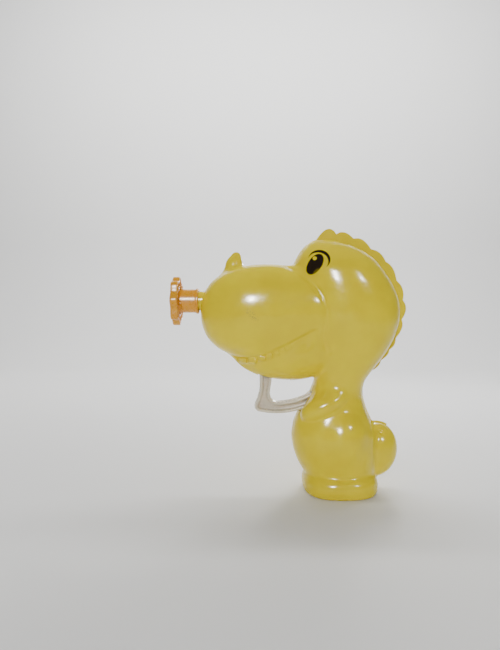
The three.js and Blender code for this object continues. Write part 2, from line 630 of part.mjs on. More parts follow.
// flower-shaped bubble ring whose tube plugs over the nozzle
function bubbleRing() {
  const axis = { y: 0, z: NOZZLE.z };
  const { radius, bore, lobe, lobes, front, back } = RING_FACE;
  const points = [];
  for (let i = 0; i < 48; i++) {
    const angle = i / 48 * Math.PI * 2;
    const r = radius - lobe / 2 + lobe / 2 * Math.cos(lobes * angle);
    points.push(new THREE.Vector2(r * Math.cos(angle), r * Math.sin(angle)));
  }
  const flower = new THREE.Shape(points);
  const opening = new THREE.Path();
  opening.absarc(0, 0, bore, 0, Math.PI * 2, true);
  flower.holes.push(opening);
  const faceGeometry = new THREE.ExtrudeGeometry(flower, {
    depth: back - front, bevelEnabled: false, curveSegments: 14,
  });
  faceGeometry.rotateY(Math.PI / 2);
  faceGeometry.translate(front, 0, NOZZLE.z);
  const tube = turned([
    [RING_TUBE.bore, RING_TUBE.back], [RING_TUBE.bore, RING_TUBE.front],
    [RING_TUBE.radius, RING_TUBE.front], [RING_TUBE.radius, RING_TUBE.back], [RING_TUBE.bore, RING_TUBE.back],
  ], axis);
  const spokes = [];
  for (let i = 0; i < 3; i++) {
    const spoke = box([front + 1.2, RING_TUBE.front + 1.6], [-1.6, 1.6], [RING_TUBE.bore, bore + 1.2]);
    spokes.push(spoke.rotate([i * 120, 0, 0]).translate([0, 0, NOZZLE.z]));
  }
  return join([solid(faceGeometry), tube, ...spokes]);
}

// ---------- fasteners and axles ----------

// screw along Y whose head bears on a seat and whose shank runs towards `direction`
function screw(pair, seat, direction, length) {
  const at = place(pair);
  const span = (from, to) => [Math.min(from, to), Math.max(from, to)];
  const headFrom = seat - direction * GAP;
  const headTo = headFrom - direction * SCREW.headHeight;
  const head = rod(at, SCREW.head, span(headFrom, headTo), 10);
  const shank = rod(at, SCREW.shank, span(headFrom - direction * 0.5, seat + direction * length), 6);
  return head.add(shank);
}

// ---------- the assembly ----------

const yellow = { color: 0xf5e400, roughness: 0.28, metalness: 0 };
const milky = { color: 0xe6e8e6, roughness: 0.35, metalness: 0 };
const orange = { color: 0xf59a1a, roughness: 0.4, metalness: 0 };
const white = { color: 0xe9e9e4, roughness: 0.5, metalness: 0 };
const grey = { color: 0x9a9c9f, roughness: 0.5, metalness: 0 };
const steel = { color: 0xb9bcc0, roughness: 0.3, metalness: 1 };

const toy = new THREE.Group();

function addPiece(name, body, finish) {
  const data = body.getMesh();
  const geometry = new THREE.BufferGeometry();
  geometry.setAttribute('position', new THREE.BufferAttribute(new Float32Array(data.vertProperties), 3));
  geometry.setIndex(new THREE.BufferAttribute(new Uint32Array(data.triVerts), 1));
  geometry.computeVertexNormals();
  const mesh = new THREE.Mesh(geometry, new THREE.MeshStandardMaterial(finish));
  mesh.name = name;
  toy.add(mesh);
}

addPiece('left_shell', shellHalf(-1), yellow);
addPiece('right_shell', shellHalf(1), yellow);
addPiece('nozzle', nozzle(), yellow);
addPiece('air_duct', airDuct(), white);
addPiece('bubble_ring', bubbleRing(), orange);
addPiece('trigger', trigger(), milky);
addPiece('trigger_pin', rod(PIVOT, PIN.radius, [-PIN.half, PIN.half], 16), steel);
addPiece('trigger_spring', triggerSpring(), steel);
addPiece('clutch_pinion', clutchPinion(), white);
addPiece('clutch_pawl', clutchPawl(), grey);
addPiece('drive_gear', driveGear(), white);
addPiece('drive_axle', rod(DRIVE, AXLE_RADIUS, [COVER_PLATE[0], BASE_PLATE[1]], 12), steel);
addPiece('idler_gear', idlerGear(), white);
addPiece('idler_axle', rod(IDLER, AXLE_RADIUS, [COVER_PLATE[0], BASE_PLATE[1]], 12), steel);
addPiece('fan', fan(), grey);
addPiece('fan_shaft', rod(FAN, AXLE_RADIUS, [COVER_PLATE[0], SCROLL_LAYER[1] - 0.5], 12), steel);
addPiece('fan_pinion', fanPinion(), white);
addPiece('blower_housing', blowerHousing(), white);
addPiece('blower_cover', blowerCover(), white);
addPiece('gear_cover', gearCover(), white);
BODY_SCREWS.forEach((pair, i) => {
  addPiece(`body_screw_${i + 1}`, screw(pair, BODY_SEAT, -1, SCREW_LENGTH.body), steel);
});
GEAR_SCREWS.forEach((pair, i) => {
  addPiece(`gear_screw_${i + 1}`, screw(pair, COVER_PLATE[0], 1, SCREW_LENGTH.gear), steel);
});
MOUNT_SCREWS.forEach((pair, i) => {
  addPiece(`mount_screw_${i + 1}`, screw(pair, BASE_PLATE[0], 1, SCREW_LENGTH.mount), steel);
});

export default toy;
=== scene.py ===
"""Looks of the hand-powered dinosaur bubble gun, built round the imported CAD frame.

The body halves, the trigger's lower part and the ring are sculpted as distance fields in
millimetres and meshed. The nozzle, screws and spring are finer meshes of their CAD pieces.
Every other piece is its CAD node with a procedural material.
"""
import json
import math

import bmesh
import bpy
import numpy as np
import openvdb
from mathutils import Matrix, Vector


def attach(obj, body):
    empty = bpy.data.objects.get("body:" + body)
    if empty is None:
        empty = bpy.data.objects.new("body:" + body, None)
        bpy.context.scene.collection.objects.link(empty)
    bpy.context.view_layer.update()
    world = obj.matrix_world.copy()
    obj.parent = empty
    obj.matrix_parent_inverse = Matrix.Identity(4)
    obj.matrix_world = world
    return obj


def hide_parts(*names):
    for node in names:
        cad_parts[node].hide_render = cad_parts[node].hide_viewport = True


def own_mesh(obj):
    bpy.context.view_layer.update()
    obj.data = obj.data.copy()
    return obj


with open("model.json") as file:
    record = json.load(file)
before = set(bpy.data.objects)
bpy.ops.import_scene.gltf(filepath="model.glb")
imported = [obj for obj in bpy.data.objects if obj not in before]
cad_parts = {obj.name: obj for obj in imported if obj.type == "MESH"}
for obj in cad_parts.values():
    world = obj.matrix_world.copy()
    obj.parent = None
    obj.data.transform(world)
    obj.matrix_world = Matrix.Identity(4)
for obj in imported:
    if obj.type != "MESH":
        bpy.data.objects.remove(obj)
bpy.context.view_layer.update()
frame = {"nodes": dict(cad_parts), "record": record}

MM = 0.001

# ---------- sizes shared with the CAD, in millimetres ----------

SEAM = 0.15
GAP = 0.3
WALL = 1.7
PIVOT = (-33.3, 82.1)
FAN = (9.3224, 97.5487)
NOZZLE_Z = 98.9
NOZZLE_RADIUS = 5.0
TRIGGER_HALF = 4.0
SPRING_Z = PIVOT[1] + 8.5
BOSS_RADIUS = 3.2
PIN_HOLE = 1.55
SCREW_SHANK = 1.0
SCREW_HEAD = 2.1
BEYOND = 25  # Y that lies outside the body on either side
BODY_SCREWS = [(-59, 84), (-12, 121.6), (24, 80), (14.5, 66.5), (-15, 26), (9, 20)]
GEAR_SCREWS = [(2, 84.5), (13.5, 109.5), (-27, 103)]
MOUNT_SCREWS = [(-26, 77.5), (-2, 118.5)]


# ---------- sculpting tools ----------

class Grid:
    """A block of sample points. Fields on it are distances in mm, negative inside."""

    def __init__(self, low, high, cell):
        self.low, self.cell = np.array(low, float), cell
        self.counts = [int(math.ceil((b - a) / cell)) + 1 for a, b in zip(low, high)]
        axes = [(low[i] + cell * np.arange(self.counts[i])).astype(np.float32) for i in range(3)]
        self.x, self.y, self.z = axes[0][:, None, None], axes[1][None, :, None], axes[2][None, None, :]

    def ellipsoid(self, centre, radii, tilt=0.0, power=2.0):
        """Fuller than an ellipsoid with a power above 2, and tilted in the XZ plane by degrees."""
        c, s = math.cos(math.radians(tilt)), math.sin(math.radians(tilt))
        dx, dy, dz = self.x - centre[0], self.y - centre[1], self.z - centre[2]
        u = np.abs((dx * c + dz * s) / radii[0]) + 1e-5
        v = np.abs(dy / radii[1]) + 1e-5
        w = np.abs((dz * c - dx * s) / radii[2]) + 1e-5
        size = (u ** power + v ** power + w ** power) ** (1 / power)
        slope = np.sqrt((u ** (power - 1) / radii[0]) ** 2 + (v ** (power - 1) / radii[1]) ** 2
                        + (w ** (power - 1) / radii[2]) ** 2) / size ** (power - 1)
        return (size - 1) / (slope + 1e-6)

    def capsule(self, a, b, radius_a, radius_b):
        """A round rod between two points, whose radius changes along it."""
        along = [b[i] - a[i] for i in range(3)]
        t = (self.x - a[0]) * along[0] + (self.y - a[1]) * along[1] + (self.z - a[2]) * along[2]
        t = np.clip(t / sum(k * k for k in along), 0, 1)
        gaps = [axis - a[i] - along[i] * t for i, axis in enumerate((self.x, self.y, self.z))]
        return np.sqrt(gaps[0] ** 2 + gaps[1] ** 2 + gaps[2] ** 2) - (radius_a + (radius_b - radius_a) * t)

    def line(self, points):
        """Distance in the XZ plane to a line through points, the same for every Y."""
        x, z = self.x[:, :, 0], self.z[:, 0, :]
        best = np.full((self.counts[0], self.counts[2]), 1e3, np.float32)
        for (x0, z0), (x1, z1) in zip(points, points[1:]):
            t = ((x - x0) * (x1 - x0) + (z - z0) * (z1 - z0)) / ((x1 - x0) ** 2 + (z1 - z0) ** 2)
            t = np.clip(t, 0, 1)
            best = np.minimum(best, np.hypot(x - x0 - (x1 - x0) * t, z - z0 - (z1 - z0) * t))
        return best[:, None, :]

    def outline(self, points):
        """Signed distance in the XZ plane to a closed outline, the same for every Y."""
        x, z = self.x[:, :, 0], self.z[:, 0, :]
        inside = np.zeros((self.counts[0], self.counts[2]), bool)
        closed = list(points) + [points[0]]
        for (x0, z0), (x1, z1) in zip(closed, closed[1:]):
            if z0 != z1:
                crossing = x0 + (z - z0) * (x1 - x0) / (z1 - z0)
                inside ^= ((z0 > z) != (z1 > z)) & (x < crossing)
        distance = self.line(closed)
        return np.where(inside[:, None, :], -distance, distance)

    def unit_slope(self, field):
        """The same surface, with values closer to true distances near it."""
        slopes = np.gradient(field, self.cell)
        return field / np.clip(np.sqrt(sum(s * s for s in slopes)), 0.6, 3.0)

    def mesh(self, name, field, depth=0.0, mirrored=False, every=1):
        """The surface at a depth, as an object. A mirrored field holds its Y >= 0 half only."""
        clipped = np.clip(field[::every, ::every, ::every] + depth, -3, 3)
        low = self.low.copy()
        if mirrored:
            clipped = np.concatenate((clipped[:, :0:-1, :], clipped), axis=1)
            low[1] = -(clipped.shape[1] // 2) * self.cell * every
        volume = openvdb.FloatGrid(3.0)
        volume.copyFromArray(np.ascontiguousarray(clipped, dtype=np.float64))
        points, triangles, quads = volume.convertToPolygons(isovalue=0, adaptivity=0)
        faces = quads.tolist() + triangles.tolist()
        return new_object(name, points * self.cell * every + low, faces)


def smooth_union(a, b, radius):
    blend = np.maximum(radius - np.abs(a - b), 0) / radius
    return np.minimum(a, b) - blend * blend * radius * 0.25


def smooth_cut(a, b, radius):
    """a without b, with a rounded edge."""
    return -smooth_union(-a, b, radius)


def rounded_slab(flat, thickness, radius):
    """A flat distance extruded to a thickness distance, with rounded edges."""
    u, v = flat + radius, thickness + radius
    return np.hypot(np.maximum(u, 0), np.maximum(v, 0)) + np.minimum(np.maximum(u, v), 0) - radius


def step(value, low, high):
    t = np.clip((value - low) / (high - low), 0, 1)
    return t * t * (3 - 2 * t)


def spline(points, count=40):
    """A smooth line through points."""
    p = [np.array(q, float) for q in points]
    p = [2 * p[0] - p[1]] + p + [2 * p[-1] - p[-2]]
    out = []
    for i in range(count + 1):
        at = min(i / count * (len(points) - 1), len(points) - 1 - 1e-9)
        k, t = int(at), at - int(at)
        a, b, c, d = p[k:k + 4]
        out.append(0.5 * (2 * b + (c - a) * t + (2 * a - 5 * b + 4 * c - d) * t * t
                          + (3 * b - a - 3 * c + d) * t ** 3))
    return out


def arc(centre, radius, start, end, count=12):
    angles = [math.radians(start + (end - start) * i / count) for i in range(count + 1)]
    return [(centre[0] + radius * math.cos(a), centre[1] + radius * math.sin(a)) for a in angles]


def bend(start, control, end, count=8):
    """A quadratic curve, without its first point."""
    out = []
    for i in range(1, count + 1):
        t = i / count
        out.append(tuple(start[k] * (1 - t) ** 2 + 2 * control[k] * t * (1 - t) + end[k] * t * t for k in (0, 1)))
    return out


# ---------- mesh tools ----------

def new_object(name, points, faces):
    """An object from points in mm, with its faces turned outwards."""
    mesh = bpy.data.meshes.new(name)
    mesh.from_pydata(np.asarray(points) * MM, [], faces)
    mesh.update()
    bm = bmesh.new()
    bm.from_mesh(mesh)
    if bm.calc_volume(signed=True) < 0:
        bmesh.ops.reverse_faces(bm, faces=bm.faces)
    bm.to_mesh(mesh)
    bm.free()
    obj = bpy.data.objects.new(name, mesh)
    bpy.context.scene.collection.objects.link(obj)
    return obj


def box(low, high):
    points = [(x, y, z) for x in (low[0], high[0]) for y in (low[1], high[1]) for z in (low[2], high[2])]
    faces = [(0, 1, 3, 2), (4, 6, 7, 5), (0, 4, 5, 1), (2, 3, 7, 6), (0, 2, 6, 4), (1, 5, 7, 3)]
    return new_object("box", points, faces)


def slab(outline, y):
    """An outline in the XZ plane, extruded across Y."""
    n = len(outline)
    points = [(x, y[0], z) for x, z in outline] + [(x, y[1], z) for x, z in outline]
    sides = [(i, (i + 1) % n, n + (i + 1) % n, n + i) for i in range(n)]
    return new_object("slab", points, [tuple(range(n))[::-1], tuple(range(n, 2 * n))] + sides)


def rod(centre, radius, y, sides=48):
    return slab(arc(centre, radius, 0, 360 - 360 / sides, sides - 1), y)


def lathe(name, profile, origin, axis, sides=96):
    """A closed profile of (radius, distance along the axis) points, turned about the X or Y axis."""
    points, faces, n = [], [], len(profile)
    for i in range(sides):
        c, s = math.cos(2 * math.pi * i / sides), math.sin(2 * math.pi * i / sides)
        for radius, along in profile:
            turned = (along, radius * c, radius * s) if axis == "X" else (radius * c, along, radius * s)
            points.append([origin[k] + turned[k] for k in range(3)])
        for j in range(n):
            k, other = (j + 1) % n, (i + 1) % sides
            faces.append((i * n + j, i * n + k, other * n + k, other * n + j))
    obj = new_object(name, points, faces)
    bm = bmesh.new()
    bm.from_mesh(obj.data)
    bmesh.ops.remove_doubles(bm, verts=bm.verts, dist=1e-7)
    bmesh.ops.dissolve_degenerate(bm, edges=bm.edges, dist=1e-8)
    bm.to_mesh(obj.data)
    bm.free()
    return obj


def combine(obj, others, operation):
    """Joins the others to obj, cuts them from it or keeps what they share with it."""
    for other in others:
        modifier = obj.modifiers.new("combine", "BOOLEAN")
        modifier.operation, modifier.solver, modifier.object = operation, "MANIFOLD", other
        graph = bpy.context.evaluated_depsgraph_get()
        result = bpy.data.meshes.new_from_object(obj.evaluated_get(graph))
        obj.modifiers.clear()
        obj.data = result
        bpy.data.objects.remove(other)
    return obj


def finish_piece(obj, body, finish, nodes, crease=35):
    """Shading, material, and the CAD node that the piece stands for."""
    obj.data.materials.clear()
    obj.data.materials.append(finish)
    obj.data.shade_smooth()
    obj.data.set_sharp_from_angle(angle=math.radians(crease))
    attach(obj, body)
    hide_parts(*nodes)
    return obj


# ---------- the body ----------

G = Grid((-75.0, 0.0, -1.8), (38.0, 25.0, 139.5), 0.5)

# horizontal sections of the head back, neck and trunk: height, front x, back x, half width
TRUNK = (
    (6, -16, 16, 15), (10, -18.8, 17.5, 16.5), (16, -22.3, 18.5, 18), (22, -24.4, 19, 18.8),
    (29, -25.4, 18.8, 18.8), (36, -24.2, 16.2, 18), (42, -21.4, 13.4, 16.2), (48, -17.2, 11.7, 14.6),
    (53, -14.9, 11.4, 14.2), (58, -13.0, 12.8, 14.8), (64, -12, 17.2, 16.6), (71, -13.5, 22.7, 19),
    (79, -16.5, 27.4, 20.8), (87, -20, 30.2, 22), (94, -22, 30.9, 22.5), (101, -22.5, 29.7, 22.4),
    (108, -23, 26.5, 21.9), (114, -23.6, 22.7, 20.9), (119, -23.8, 19.0, 18.6), (123.5, -21.6, 13.8, 15.0),
    (127, -18.8, 8.0, 10.4), (129.5, -15.6, 0.6, 5.4), (130.6, -11.4, -6.6, 1.2),
)
CREST_VALLEYS = [
    (-12.2, 131.1), (-1.5, 134.2), (7.6, 131.8), (16.8, 126.2), (24.5, 119.7), (30.2, 109.7),
    (33.5, 99.3), (32.9, 89.1), (29.8, 79.4), (26.4, 73.3), (21.9, 67.7), (18.3, 62.8),
]
CREST_PEAKS = [
    (-6.2, 136.9), (3.0, 135.1), (12.4, 131.2), (21.4, 124.3), (28.4, 116.0), (33.5, 105.2),
    (35.2, 94.8), (33.1, 84.7), (29.0, 75.8), (25.4, 70.5), (21.0, 65.3),
]
CREST_THICKNESS = 4.0
LIP = spline([(-60.5, 71.6), (-58.3, 70.6), (-53.0, 69.9), (-47.0, 69.9), (-41.1, 71.2), (-36.2, 73.0),
              (-30.9, 75.6), (-25.7, 78.5), (-20.4, 81.2), (-16.5, 83.3), (-13.0, 84.6)])
CHEEK_FOLD = spline([(-27.5, 115.3), (-25.0, 113.6), (-20.1, 109.4), (-15.6, 105.6), (-11.8, 100.2),
                     (-9.8, 93.0), (-9.8, 86.5), (-10.6, 81.5), (-9.7, 76.6), (-8.0, 73.0)])
TEETH = [-57.6, -53.1, -48.3, -43.4, -39.0, -35.5, -32.4, -29.5, -26.8]


def trunk():
    table = np.array(TRUNK)
    z = G.z[0, 0]
    # squared radii run almost straight up to the crown, which keeps the crown round
    columns = ((table[:, 1] + table[:, 2]) / 2, ((table[:, 2] - table[:, 1]) / 2) ** 2, table[:, 3] ** 2)
    window = np.hanning(int(7 / G.cell) | 1)
    pad = len(window) // 2
    smooth = []
    for column in columns:
        values = np.pad(np.interp(z, table[:, 0], column), pad, mode="edge")
        smooth.append(np.convolve(values, window / window.sum(), mode="valid").astype(np.float32))
    middle, deep, wide = smooth[0], np.sqrt(np.maximum(smooth[1], 0.3)), np.sqrt(np.maximum(smooth[2], 0.3))
    power = 2.2
    u, v = np.abs((G.x - middle) / deep) + 1e-5, np.abs(G.y / wide) + 1e-5
    size = (u ** power + v ** power) ** (1 / power)
    slope = np.sqrt((u ** (power - 1) / deep) ** 2 + (v ** (power - 1) / wide) ** 2) / size ** (power - 1)
    field = (size - 1) / (slope + 1e-6)
    return G.unit_slope(np.maximum(np.maximum(field, G.z - 130.5), 5 - G.z))


def lip_and_teeth(field):
    """The lower jaw is set back under the lip, with a row of teeth against it."""
    line = np.array(LIP)
    below = np.interp(G.x, line[:, 0], line[:, 1]).astype(np.float32) - G.z
    along = step(G.x, -60.0, -56.0) * (1 - step(G.x, -20.0, -12.5))
    side = step(G.y, 2, 6)
    recess = 1.3 * step(below, -0.5, 1.0) * (1 - step(below, 3.4, 11.0))
    groove = np.exp(-(G.line(LIP) / 0.8) ** 2) * 0.65
    teeth = np.zeros_like(field)
    for i, (start, end) in enumerate(zip(TEETH, TEETH[1:])):
        centre, half = (start + end) / 2, (end - start) / 2
        top = float(np.interp(centre, line[:, 0], line[:, 1]))
        tall = 1.75 - 0.06 * i
        across, down = np.abs(G.x - centre) / half, np.abs(top - tall - 0.1 - G.z) / tall
        shape = 1 - step((across ** 4 + down ** 4) ** (1 / 4), 0.72, 1.0)
        teeth = np.maximum(teeth, shape * (1.2 - 0.02 * i * i))
    return field + (recess + groove - teeth) * along * side


def body_field():
    cheek = G.ellipsoid((-19, 0, 93.4), (24, 21.2, 23.0))
    snout = G.ellipsoid((-40.6, 0, 93.5), (32.2, 22.4, 24.5), 3, 2.3)
    jaw = G.ellipsoid((-27, 0, 78), (32, 18.4, 20.6))
    thigh = G.ellipsoid((-0.8, 11.5, 28.3), (12.2, 9.4, 15.2), -8)
    foot = G.ellipsoid((-0.3, 0, 4.6), (19.2, 19.5, 8.8), 0, 2.6)
    field = smooth_union(trunk(), cheek, 2.5)
    field = smooth_union(field, snout, 5.0)
    field = smooth_union(field, jaw, 2.5)
    horn = smooth_union(G.capsule((-56.4, 0, 111.0), (-55.3, 0, 118.2), 6.0, 4.0),
                        G.capsule((-55.3, 0, 118.2), (-54.3, 0, 122.0), 4.0, 2.7), 2.0)
    field = smooth_union(field, horn, 2.2)
    tail = G.ellipsoid((18.5, 0, 21.2), (11.4, 10, 14.1), -12)
    dimple = G.ellipsoid((20.0, 6.9, 31.4), (1.5, 1.4, 1.2), -20)
    field = smooth_union(field, smooth_cut(tail, dimple, 0.8), 1.8)
    field = smooth_union(field, thigh, 1.6)
    arm = G.ellipsoid((-9.8, 11.0, 45.7), (12.6, 7.2, 5.9), 27)
    # the arm has a crease beneath and runs softly into the shoulder above
    field = smooth_union(field, arm, 1.3 + 2.7 * step(G.z - 0.5 * (G.x + 10), 40.0, 52.0))
    field = smooth_union(field, foot, 1.6)
    field = field + np.exp(-(G.line(CHEEK_FOLD) / 1.4) ** 2) * 0.65 * step(G.y, 4, 9)
    field = lip_and_teeth(field)
    return G.unit_slope(-smooth_union(-field, G.z, 1.4))


def crest_field(body):
    outline = [(-12.2, 124.0), CREST_VALLEYS[0]]
    for i, peak in enumerate(CREST_PEAKS):
        start, end = CREST_VALLEYS[i], CREST_VALLEYS[i + 1]
        control = [2 * peak[k] - (start[k] + end[k]) / 2 for k in (0, 1)]
        outline += bend(start, control, end)
    outline += [(10, 62), (20, 93)]
    plate = rounded_slab(G.outline(outline), np.abs(G.y) - SEAM - CREST_THICKNESS, 0.7)
    ridge = rounded_slab(body - 0.8, np.abs(G.y) - 1.8, 0.5)
    ridge = np.maximum(ridge, np.maximum(np.maximum(G.z - 64, 34 - G.z), 8 - G.x))
    return smooth_union(smooth_union(body, plate, 1.0), ridge, 0.5)


INTAKE_SLOTS, INTAKE_PITCH, INTAKE_HALF_WIDTH, INTAKE_HALF_HEIGHT = 5, 4, 0.9, 9


def shell_half(side, outside, hollow):
    """One half of the hollow body, with its bosses and holes. The side is -1 near and 1 far."""
    def across(a, b):
        return (a, b) if side > 0 else (-b, -a)

    half_space = box((-100, across(SEAM, 40)[0], -5), (60, across(SEAM, 40)[1], 150))
    outer = combine(outside, [half_space], "INTERSECT")
    bosses = [rod(at, BOSS_RADIUS, across(SEAM, BEYOND)) for at in BODY_SCREWS]
    bosses.append(rod(PIVOT, BOSS_RADIUS, across(TRIGGER_HALF + GAP, BEYOND)))
    seat = across(SEAM, 24)
    bosses.append(box((-57.4, seat[0], 87), (-55.4, seat[1], 93.2)))
    if side > 0:
        bosses += [rod(at, BOSS_RADIUS, (6.3, BEYOND)) for at in MOUNT_SCREWS]
    inner = combine(hollow, bosses, "DIFFERENCE")
    shell = combine(outer, [inner], "DIFFERENCE")
    if side < 0:
        combine(shell, [box((-4, -1, 0), (4, 3, 1.6))], "UNION")

    slot_half = TRIGGER_HALF + 0.7
    sweep = arc(PIVOT, 42.3, -80, -52) + arc(PIVOT, 35.4, -52, -80)
    tip = [(0, -90), (NOZZLE_RADIUS + GAP, -90), (NOZZLE_RADIUS + GAP, -62), (0, -62)]
    holes = [
        lathe("hole", tip, (0, 0, NOZZLE_Z), "X"),
        box((-42.8, -slot_half, 52), (-26, slot_half, 67)),
        slab(sweep, (-slot_half, slot_half)),
        rod(PIVOT, PIN_HOLE, (-12, 12)),
    ]
    for at in BODY_SCREWS:
        holes += [rod(at, SCREW_SHANK + GAP, (-8.5, 12)), rod(at, SCREW_HEAD + GAP, (6, 30))]
    if side > 0:
        holes.append(box((-4.3, -1, -1), (4.3, 3.3, 1.9)))
        holes += [rod(at, SCREW_SHANK + GAP, (5, 16)) for at in MOUNT_SCREWS]
        wide = INTAKE_HALF_WIDTH
        for i in range(-(INTAKE_SLOTS // 2), INTAKE_SLOTS // 2 + 1):
            x, tall = FAN[0] + INTAKE_PITCH * i, INTAKE_HALF_HEIGHT - abs(i) * 1.5
            ends = arc((x, FAN[1] + tall - wide), wide, 0, 180)
            ends += arc((x, FAN[1] - tall + wide), wide, 180, 360)
            holes.append(slab(ends, (15.3, 40)))
    return combine(shell, holes, "DIFFERENCE")


def make_shells(finish):
    body = body_field()
    left_hollow = G.mesh("hollow", body, WALL, mirrored=True, every=2)
    right_hollow = left_hollow.copy()
    right_hollow.data = left_hollow.data.copy()
    bpy.context.scene.collection.objects.link(right_hollow)
    left = shell_half(-1, G.mesh("left_half", body, mirrored=True), left_hollow)
    right = shell_half(1, G.mesh("right_half", crest_field(body), mirrored=True), right_hollow)
    finish_piece(left, "casing", finish, ["left_shell"])
    finish_piece(right, "casing", finish, ["right_shell"])


# ---------- trigger ----------

def trigger_outline():
    shape = arc(PIVOT, 4.9, 194, -40, 20) + [(-35.7, 58.9), (-36.8, 51.5)]
    shape += bend((-36.8, 51.5), (-37.1, 46.6), (-32.2, 46.0))
    shape += arc(PIVOT, 36.1, -87, -50) + arc(PIVOT, 41.6, -50, -100)
    start = shape[-1]
    shape += bend(start, (-45.2, 41.4), (-44.2, 45.2))
    shape += bend((-44.2, 45.2), (-41.9, 50), (-41.7, 54))
    shape.append((-41.7, 61))
    return shape


def make_trigger(finish):
    """The finger loop is sculpted, and the arm and toothed sector above it are the CAD node's."""
    cell = 0.22
    grid = Grid((-48, -4.8, 39), (-4, 4.8, 88.5), cell)
    flat = grid.outline(trigger_outline())
    across = np.abs(grid.y)
    web = rounded_slab(flat, across - 1.4, 0.3)
    rim = rounded_slab(np.abs(flat + 0.7) - 0.7, across - TRIGGER_HALF, 0.5)
    distance = np.hypot(grid.x - PIVOT[0], grid.z - PIVOT[1])
    hub = rounded_slab(np.maximum(flat, distance - 6.2), across - TRIGGER_HALF, 0.4)
    field = smooth_union(smooth_union(web, rim, 1.0), hub, 0.8)
    lower = grid.mesh("trigger_piece", field)
    node = frame["nodes"]["trigger"]
    upper = bpy.data.objects.new("upper", node.data.copy())
    bpy.context.scene.collection.objects.link(upper)
    bm = bmesh.new()
    bm.from_mesh(upper.data)
    bmesh.ops.remove_doubles(bm, verts=bm.verts, dist=1e-6)
    bm.to_mesh(upper.data)
    bm.free()
    combine(upper, [box((-60, -6, 81), (0, 6, 110))], "INTERSECT")
    combine(lower, [rod(PIVOT, PIN_HOLE, (-6, 6))], "DIFFERENCE")
    combine(lower, [upper], "UNION")
    finish_piece(lower, "trigger_arm", finish, ["trigger"])


# ---------- nozzle and bubble ring ----------

NOZZLE_TIP = -80.2
RING_FRONT, RING_BACK, RING_END = -87.4, -83.6, -73.9
RING_BORE, RING_RADIUS, RING_LOBE, RING_LOBES = 7.1, 12.6, 1.7, 8
TUBE_RADIUS, TUBE_BORE = 6.1, 5.3
KNOB_ROWS, KNOB_RADIUS = ((8.75, 32), (9.85, 36), (10.95, 40)), 0.58
RIBS, RIB_RADIUS = 12, 5.1
SPOKE_ANGLES = (90, 210, 330)


def make_nozzle(finish):
    r, tip = NOZZLE_RADIUS, NOZZLE_TIP
    profile = [(3.7, -58.0), (3.7, tip + 0.6), (3.85, tip + 0.2), (4.1, tip)]
    profile += [(r - 1.0, tip), (r - 0.45, tip + 0.15), (r - 0.1, tip + 0.6), (r, tip + 1.4), (r, -64.9)]
    profile += [(r + 2.0, -64.9), (r + 2.2, -64.7), (r + 2.2, -63.7), (r + 2.0, -63.5), (r, -63.5), (r, -58.0)]
    nozzle = lathe("nozzle_piece", profile, (0, 0, NOZZLE_Z), "X")
    finish_piece(nozzle, "casing", finish, ["nozzle"])


def make_ring(finish):
    grid = Grid((-88.6, -13.6, 85.3), (-73.0, 13.6, 112.5), 0.2)
    r = np.hypot(grid.y, grid.z - NOZZLE_Z)
    angle = np.arctan2(grid.z - NOZZLE_Z, grid.y)
    edge = r - (RING_RADIUS - RING_LOBE / 2 + RING_LOBE / 2 * np.cos(RING_LOBES * angle))
    half, middle = (RING_BACK - RING_FRONT) / 2, (RING_FRONT + RING_BACK) / 2
    depth = np.abs(grid.x - middle)
    field = rounded_slab(np.maximum(edge, RING_BORE - r), depth - half + 0.7, 0.3)
    for rim in (np.abs(edge + 0.45) - 0.45, np.abs(r - RING_BORE - 0.45) - 0.45):
        field = smooth_union(field, rounded_slab(rim, depth - half, 0.35), 0.4)
    for row, count in KNOB_ROWS:
        turn = angle * count / (2 * math.pi)
        beside = (turn - np.round(turn)) * 2 * math.pi / count * row
        knob = np.sqrt((r - row) ** 2 + beside ** 2 + (depth - half + 0.75) ** 2) - KNOB_RADIUS
        field = smooth_union(field, np.maximum(knob, edge + 0.3), 0.25)
    tube_middle, tube_half = (RING_FRONT + 3.4 + RING_END) / 2, (RING_END - RING_FRONT - 3.4) / 2
    wall = np.abs(r - (TUBE_RADIUS + TUBE_BORE) / 2) - (TUBE_RADIUS - TUBE_BORE) / 2
    tube = rounded_slab(wall, np.abs(grid.x - tube_middle) - tube_half, 0.25)
    collar = rounded_slab(np.abs(r - 6.25) - 0.45, np.abs(grid.x - RING_END + 0.6) - 0.6, 0.3)
    field = smooth_union(field, smooth_union(tube, collar, 0.4), 0.5)
    turn = angle * RIBS / (2 * math.pi)
    beside = np.abs(turn - np.round(turn)) * 2 * math.pi / RIBS * RIB_RADIUS
    rib = rounded_slab(np.maximum(beside - 0.35, np.abs(r - 5.2) - 0.4), np.abs(grid.x + 82.4) - 1.3, 0.2)
    field = smooth_union(field, rib, 0.3)
    for degrees in SPOKE_ANGLES:
        c, s = math.cos(math.radians(degrees)), math.sin(math.radians(degrees))
        out = grid.y * c + (grid.z - NOZZLE_Z) * s
        side = np.abs((grid.z - NOZZLE_Z) * c - grid.y * s) - 1.6
        spoke = rounded_slab(np.maximum(side, np.abs(out - 6.75) - 1.2), np.abs(grid.x + 84.3) - 1.9, 0.3)
        field = smooth_union(field, spoke, 0.5)
    ring = grid.mesh("ring_piece", field)
    finish_piece(ring, "ring", finish, ["bubble_ring"])


# ---------- screws and spring ----------

THREAD_PITCH, THREAD_ROOT = 0.9, 0.78


